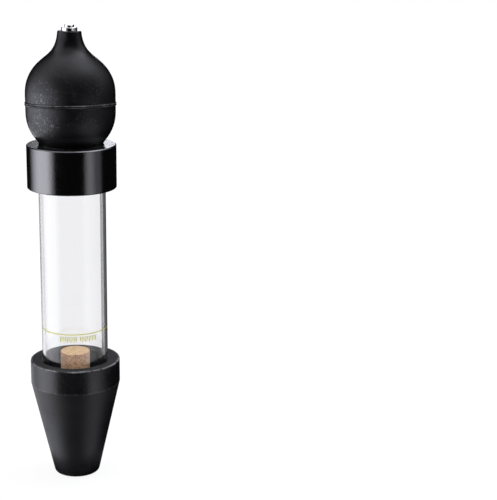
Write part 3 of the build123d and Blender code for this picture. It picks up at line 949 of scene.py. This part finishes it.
def printed(name, first, last, low_z, high_z, steps):
    """Patch of ink on the tube between two angles and heights, a sheet given its thickness."""
    angles = np.linspace(first, last, steps) - pi / 2
    heights = np.linspace(low_z, high_z, 3)
    radius = TUBE_R + INK_THICKNESS + INK_CLEARANCE
    across = np.stack([radius * np.cos(angles), radius * np.sin(angles)], -1)
    across = np.repeat(across[None], len(heights), axis=0)
    up = np.repeat(heights[:, None, None], steps, axis=1)
    grid = np.concatenate([across, up], -1)
    piece = surface(name, grid, ring=False, wrap=False)
    wall = piece.modifiers.new("ink", "SOLIDIFY")
    wall.thickness = INK_THICKNESS * MM
    wall.offset = -1.0
    return piece


def level_marks(finish):
    """Level line round the tube's front, and below it two groups of plain strokes."""
    half = LEVEL_LINE_WIDTH / 2
    turn = radians(LEVEL_LINE_HALF_TURN)
    line = printed("level_line", -turn, turn, LEVEL_LINE_Z - half, LEVEL_LINE_Z + half, SEGMENTS)
    dressed(line, "tester", "valve_plastic", finish)
    half_width = STROKE_WIDTH / TUBE_R / 2
    angles = np.radians(np.linspace(STROKE_FIRST, STROKE_LAST, STROKE_PLACES))
    for place, angle in enumerate(angles):
        if place == STROKE_GAP_PLACE:
            continue
        bottom = STROKE_TOP_Z - STROKE_HEIGHTS[place % 2]
        name = f"level_stroke_{place + 1}"
        stroke = printed(name, angle - half_width, angle + half_width, bottom, STROKE_TOP_Z, 4)
        dressed(stroke, "tester", "valve_plastic", finish)


# Studio

# Soft lights in the sky, all angles in degrees: the middle's way round from the camera's side
# towards +X, the half width that is full, the fades to its left and right, the lowest and
# highest full elevation, the fade above and below, and the brightness
SOFT_LIGHTS = (
    (-79, 9, 48, 30, -36, -8, 10, 2.9),
    (-145, 12, 12, 18, -50, -20, 6, 1.0),
    (47, 3, 17, 18, -36, -8, 10, 0.85),
    (70, 2, 14, 15, -36, -8, 10, 0.32),
    (50, 12, 20, 20, -38, -19, 5, 0.5),
    (-15, 100, 25, 25, -49, -26, 5, 0.23),
    (65, 20, 25, 20, -50, -38, 6, 0.42),
    (-75, 35, 15, 20, 0, 16, 8, 1.2),
    (85, 12, 20, 25, 0, 16, 8, 0.42),
    (-90, 20, 25, 30, 26, 46, 10, 1.4),
    (108, 15, 40, 15, 26, 46, 10, 0.9),
    (118, 14, 30, 20, 46, 66, 8, 0.95),
    (0, 180, 1, 1, 54, 91, 10, 0.95),
    (140, 70, 40, 45, 56, 91, 9, 1.3),
    (174.6, 4, 3, 3.7, 6, 10, 4, 3.9),
)
SOFT_LIGHT_TINT = (0.97, 0.975, 1.07, 1.0)
STUDIO_DARK = 0.006

# Sky that light through the clear tube sees: its brightness low down and high up, the elevations
# between which that rises, the share left at the horizon, and the elevation where it is whole
SKY_THROUGH_TUBE = (1.2, 6.5)
SKY_RISES = (25, 65)
HORIZON_SHARE = 0.92
HORIZON_FADE = 13

# Floor: half its side in metres, the brightness of its glow and its albedo, and the brightness
# of the glowing disc that reflections see round the foot, a painted contact shadow that is dark at
# the foot and reaches this between two radii in millimetres
FLOOR_HALF = 3.0
FLOOR_GLOW = 0.9
FLOOR_ALBEDO = 0.14
FLOOR_SHEEN = 0.2
FLOOR_SHEEN_RADII = (16.0, 30.0)
FLOOR_SHEEN_SEGMENTS = 64
FLOOR_SHEEN_Z = 0.0002

# Dark card beside the tube, painted shade for the tube's right edge: two opposite corners in
# millimetres, and its colour
CARD_FROM = (17.9, 10.0, 55.0)
CARD_TO = (34.0, 10.0, COLLAR_BOTTOM_Z - 0.2)
CARD_GREY = (0.15, 0.148, 0.16, 1.0)


def studio_light():
    """Sky of soft lights for reflections and shading, plain white where it is seen directly."""
    world = bpy.data.worlds.new("studio")
    bpy.context.scene.world = world
    world.use_nodes = True
    tree = world.node_tree
    tree.nodes.clear()
    direction = tree.nodes.new("ShaderNodeTexCoord").outputs["Generated"]
    parts = put(tree, "ShaderNodeSeparateXYZ", {"Vector": direction}).outputs
    towards = maths(tree, "MULTIPLY", parts["Y"], -1.0)
    around = maths(tree, "ARCTAN2", parts["X"], towards)
    up = maths(tree, "ARCSINE", parts["Z"])
    total = STUDIO_DARK
    for centre, full, left, right, lowest, highest, fade, brightness in SOFT_LIGHTS:
        turn = maths(tree, "SUBTRACT", around, radians(centre))
        turn = maths(tree, "WRAP", turn, pi, -pi)
        share = brightness
        for value, low, high, at_low, at_high in (
            (turn, -full - left, -full, 0.0, 1.0),
            (turn, full, full + right, 1.0, 0.0),
            (up, lowest - fade, lowest, 0.0, 1.0),
            (up, highest, highest + fade, 1.0, 0.0),
        ):
            step = eased(tree, value, radians(low), radians(high), at_low, at_high)
            share = maths(tree, "MULTIPLY", step, share)
        total = maths(tree, "ADD", share, total)
    seen = tree.nodes.new("ShaderNodeLightPath").outputs
    direct = maths(tree, "MAXIMUM", seen["Is Camera Ray"], seen["Is Transmission Ray"])
    through = eased(tree, up, *np.radians(SKY_RISES), *SKY_THROUGH_TUBE)
    off_horizon = eased(tree, up, 0.0, radians(HORIZON_FADE), HORIZON_SHARE, 1.0)
    through = maths(tree, "MULTIPLY", off_horizon, through)
    through = maths(tree, "MULTIPLY", seen["Is Transmission Ray"], through)
    plain = maths(tree, "MAXIMUM", seen["Is Camera Ray"], through)
    indirect = maths(tree, "SUBTRACT", 1.0, direct)
    strength = maths(tree, "MULTIPLY_ADD", total, indirect, plain)
    tint = mixed(tree, indirect, (1, 1, 1, 1), SOFT_LIGHT_TINT)
    shade = put(tree, "ShaderNodeBackground", {"Color": tint, "Strength": strength})
    end = tree.nodes.new("ShaderNodeOutputWorld")
    tree.links.new(shade.outputs[0], end.inputs["Surface"])


def flat_sheet(name, corners, finish, *unseen_by):
    """Object of one flat face, its corners in metres, that these kinds of ray don't see."""
    mesh = bpy.data.meshes.new(name)
    mesh.from_pydata(np.array(corners).tolist(), [], [tuple(range(len(corners)))])
    mesh.materials.append(finish)
    sheet = bpy.data.objects.new(name, mesh)
    bpy.context.scene.collection.objects.link(sheet)
    for kind in unseen_by:
        setattr(sheet, f"visible_{kind}", False)
    return sheet


def glowing(tree, shader, colour, strength):
    """Sets a shader to glow without any shine of its own."""
    shader.inputs["Specular IOR Level"].default_value = 0.0
    shader.inputs["Emission Color"].default_value = colour
    feed(tree, shader.inputs["Emission Strength"], strength)


def pale_floor():
    """Plain pale floor that stays near white and takes only a soft contact shadow."""
    finish, tree, shader, place = new_finish("pale_floor")
    cloud = noise(tree, place, 4.0, 2.0)
    colour = mixed(tree, cloud, grey(FLOOR_ALBEDO), grey(FLOOR_ALBEDO * 1.08))
    feed(tree, shader.inputs["Base Color"], colour)
    shader.inputs["Roughness"].default_value = 1.0
    glowing(tree, shader, grey(1.0), FLOOR_GLOW)
    signs = ((-1, -1), (1, -1), (1, 1), (-1, 1))
    corners = [(FLOOR_HALF * x, FLOOR_HALF * y, 0) for x, y in signs]
    floor = flat_sheet("floor", corners, finish, "glossy", "diffuse", "shadow")


def floor_sheen():
    """Glowing disc round the foot that only reflections see, dark at the foot as a painted contact
    shadow and a painted dim floor further out.
    """
    near, far = [radius * MM for radius in FLOOR_SHEEN_RADII]
    angles = np.linspace(0, 2 * pi, FLOOR_SHEEN_SEGMENTS, endpoint=False)
    rim = np.stack([np.cos(angles), np.sin(angles), 0 * angles], -1) * far
    finish, tree, shader, place = new_finish("floor_sheen")
    radius, _ = from_axis(tree, place)
    shader.inputs["Base Color"].default_value = (0, 0, 0, 1)
    glowing(tree, shader, SOFT_LIGHT_TINT, eased(tree, radius, near, far, 0.0, FLOOR_SHEEN))
    unseen_by = ("camera", "diffuse", "transmission", "shadow")
    sheen = flat_sheet("floor_sheen", rim + (0, 0, FLOOR_SHEEN_Z), finish, *unseen_by)


def edge_card():
    """Dark glowing card that only light through the clear wall sees; it paints the dark band at the
    tube's right edge as painted shade.
    """
    (near, aside, low), (far, _, high) = CARD_FROM, CARD_TO
    corners = [(near, aside, low), (far, aside, low), (far, aside, high), (near, aside, high)]
    finish, tree, shader, _ = new_finish("edge_card")
    shader.inputs["Base Color"].default_value = (0, 0, 0, 1)
    glowing(tree, shader, CARD_GREY, 1.0)
    unseen_by = ("camera", "glossy", "diffuse", "shadow", "volume_scatter")
    card = flat_sheet("edge_card", np.array(corners) * MM, finish, *unseen_by)


def photo_camera():
    """Camera at the photograph's place, turned by pan, tilt and roll in radians."""
    forward = np.array([sin(CAMERA_PAN), cos(CAMERA_PAN), 0])
    ahead = forward * cos(CAMERA_TILT) - (0, 0, sin(CAMERA_TILT))
    level = np.array([cos(CAMERA_PAN), -sin(CAMERA_PAN), 0])
    upright = np.cross(level, ahead)
    right = cos(CAMERA_ROLL) * level + sin(CAMERA_ROLL) * upright
    top = cos(CAMERA_ROLL) * upright - sin(CAMERA_ROLL) * level
    lens = bpy.data.cameras.new("photo_camera")
    lens.sensor_fit = "HORIZONTAL"
    lens.sensor_width = SENSOR_WIDTH
    lens.lens = FOCAL_PIXELS * SENSOR_WIDTH / IMAGE_WIDTH
    lens.clip_start = 0.01
    camera = bpy.data.objects.new("photo_camera", lens)
    bpy.context.scene.collection.objects.link(camera)
    pose = np.eye(4)
    pose[:3] = np.column_stack([right, top, -ahead, CAMERA_SPOT])
    camera.matrix_world = Matrix(pose.tolist())
    bpy.context.scene.camera = camera


photo_camera()
studio_light()
pale_floor()
floor_sheen()
edge_card()
bpy.context.scene.view_settings.view_transform = "Standard"

cone_piece(cone_rubber())
tube_piece(clear_tube())
collar_piece(gloss_collar())
bulb_piece(bulb_rubber())
plug_piece(porous_plug())
level_marks(level_ink())

steel = polished_steel()
spring_piece(steel)

for node_names, finish in (
    (("exhaust_valve_body", "exhaust_valve_cap"), plated_valve()),
    (("exhaust_valve_ball", "check_valve_ball"), steel),
    (("check_valve_seat", "check_valve_cage"), valve_plastic()),
    (("check_valve_o_ring",), seal_rubber()),
):
    for node_name in node_names:
        refinish(node_name, finish)
